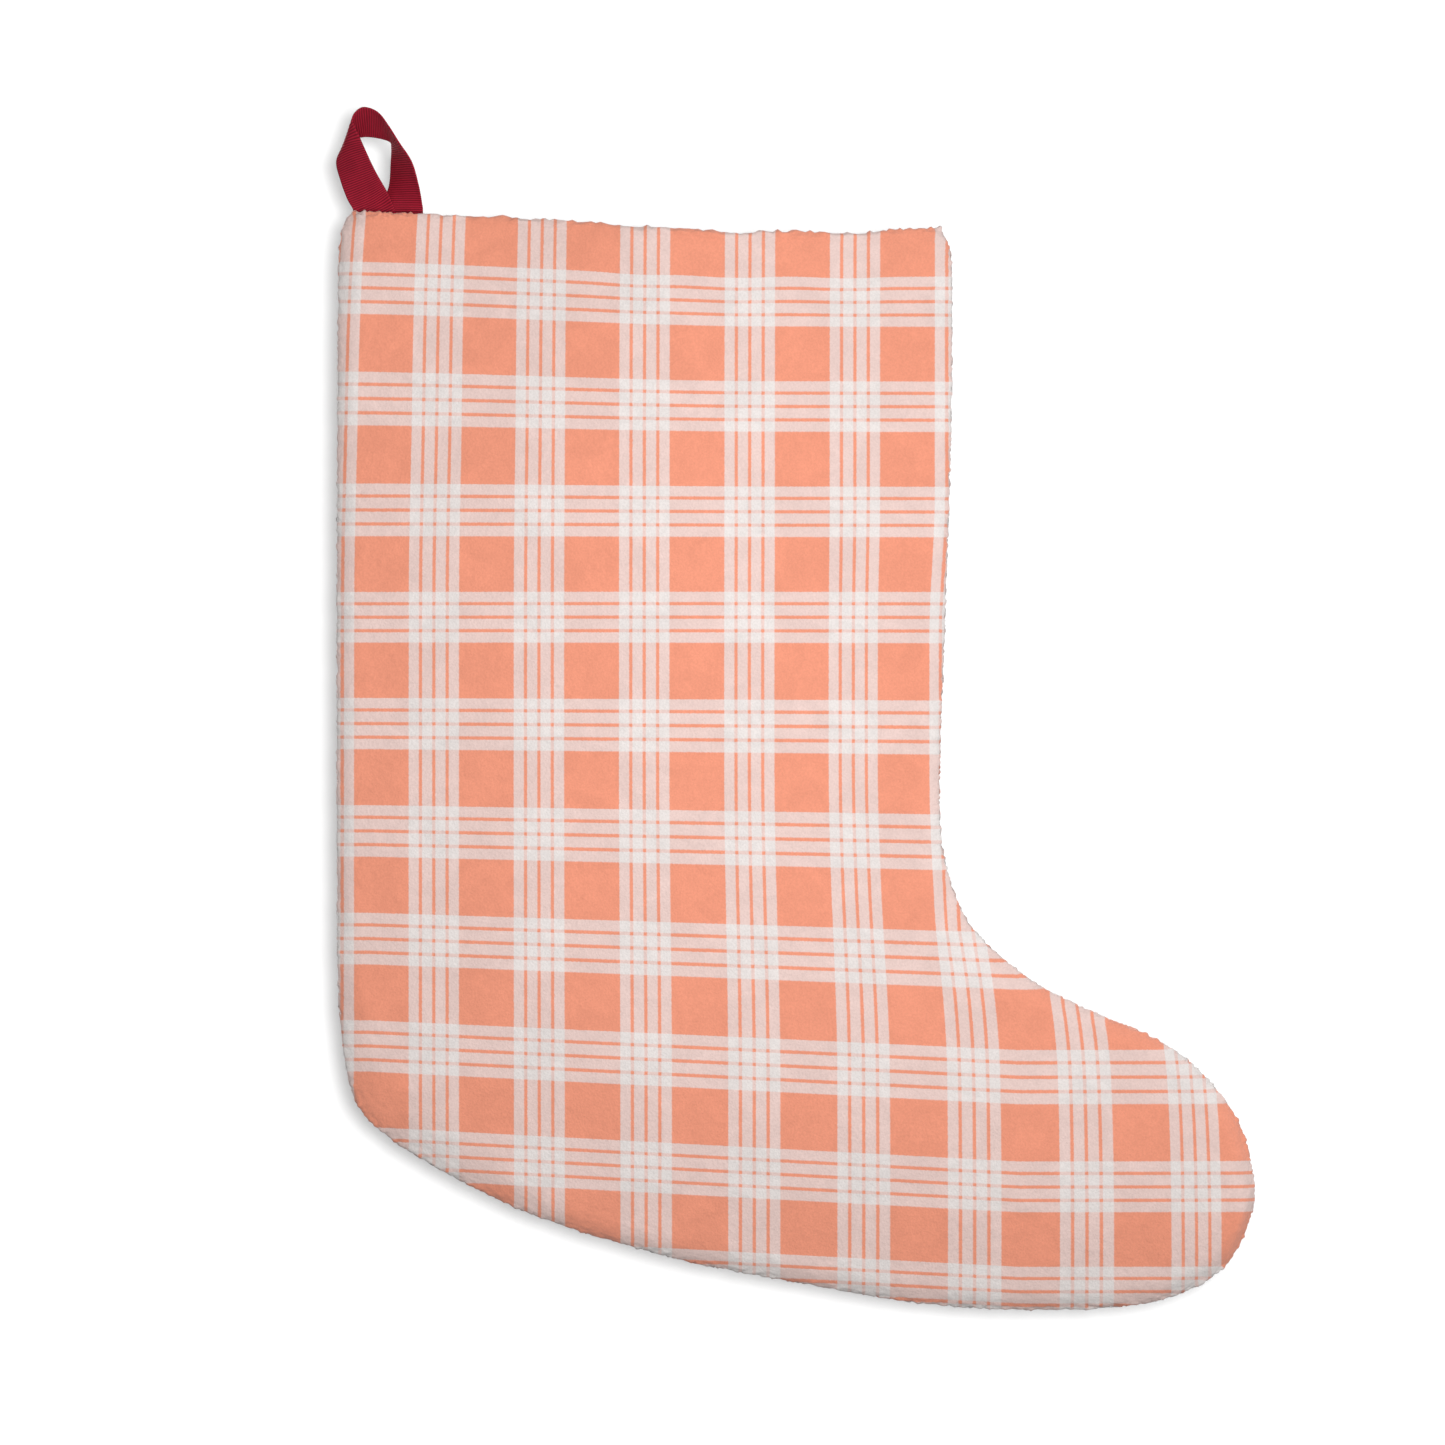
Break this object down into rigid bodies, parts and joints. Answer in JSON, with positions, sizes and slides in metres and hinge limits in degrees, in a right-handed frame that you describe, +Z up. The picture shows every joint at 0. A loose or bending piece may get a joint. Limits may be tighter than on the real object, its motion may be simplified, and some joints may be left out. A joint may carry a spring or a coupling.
{
  "type": "hanging stocking",
  "caption": "Flat plush stocking with a lining, printed all over in a windowpane plaid, hanging from a twisted grosgrain ribbon loop sewn into the corner of its mouth.",
  "frame": {"origin": "the point of the hanging loop that rests on a hook, at the inside top of the loop", "axes": "+Z up when it hangs, +X towards the toe, -Y out of the front face; the back faces +Y, where a wall would be"},
  "size_m": [0.3817, 0.0298, 0.5006],
  "materials": {
    "plush": "short-pile printed plush, orange ground with overlaid white plaid bars",
    "lining": "plain woven off-white lining",
    "thread": "matt polyester sewing thread",
    "ribbon": "ribbed grosgrain with a soft sheen",
    "label": "blank satin tape"
  },
  "bodies": {
    "loop": {"hanging_loop": "ribbon"},
    "stocking": {"front_panel": "plush", "back_panel": "plush", "front_lining": "lining", "back_lining": "lining", "panel_seam_thread": "thread", "lining_seam_thread": "thread", "mouth_seam_thread": "thread", "loop_ends": "ribbon", "loop_bar_tack": "thread", "label_ends": "label"},
    "label": {"care_label": "label"}
  },
  "joints": [
    {"name": "loop_fold", "type": "hinge", "parent": "loop", "child": "stocking", "pos_m": [0.0076, 0, -0.031], "axis": [1, 0, 0], "range_deg": [-40, 60]},
    {"name": "label_flap", "type": "hinge", "parent": "stocking", "child": "label", "pos_m": [0.1263, 0.00805, -0.04473], "axis": [-1, 0, 0], "range_deg": [0, 100]}
  ]
}
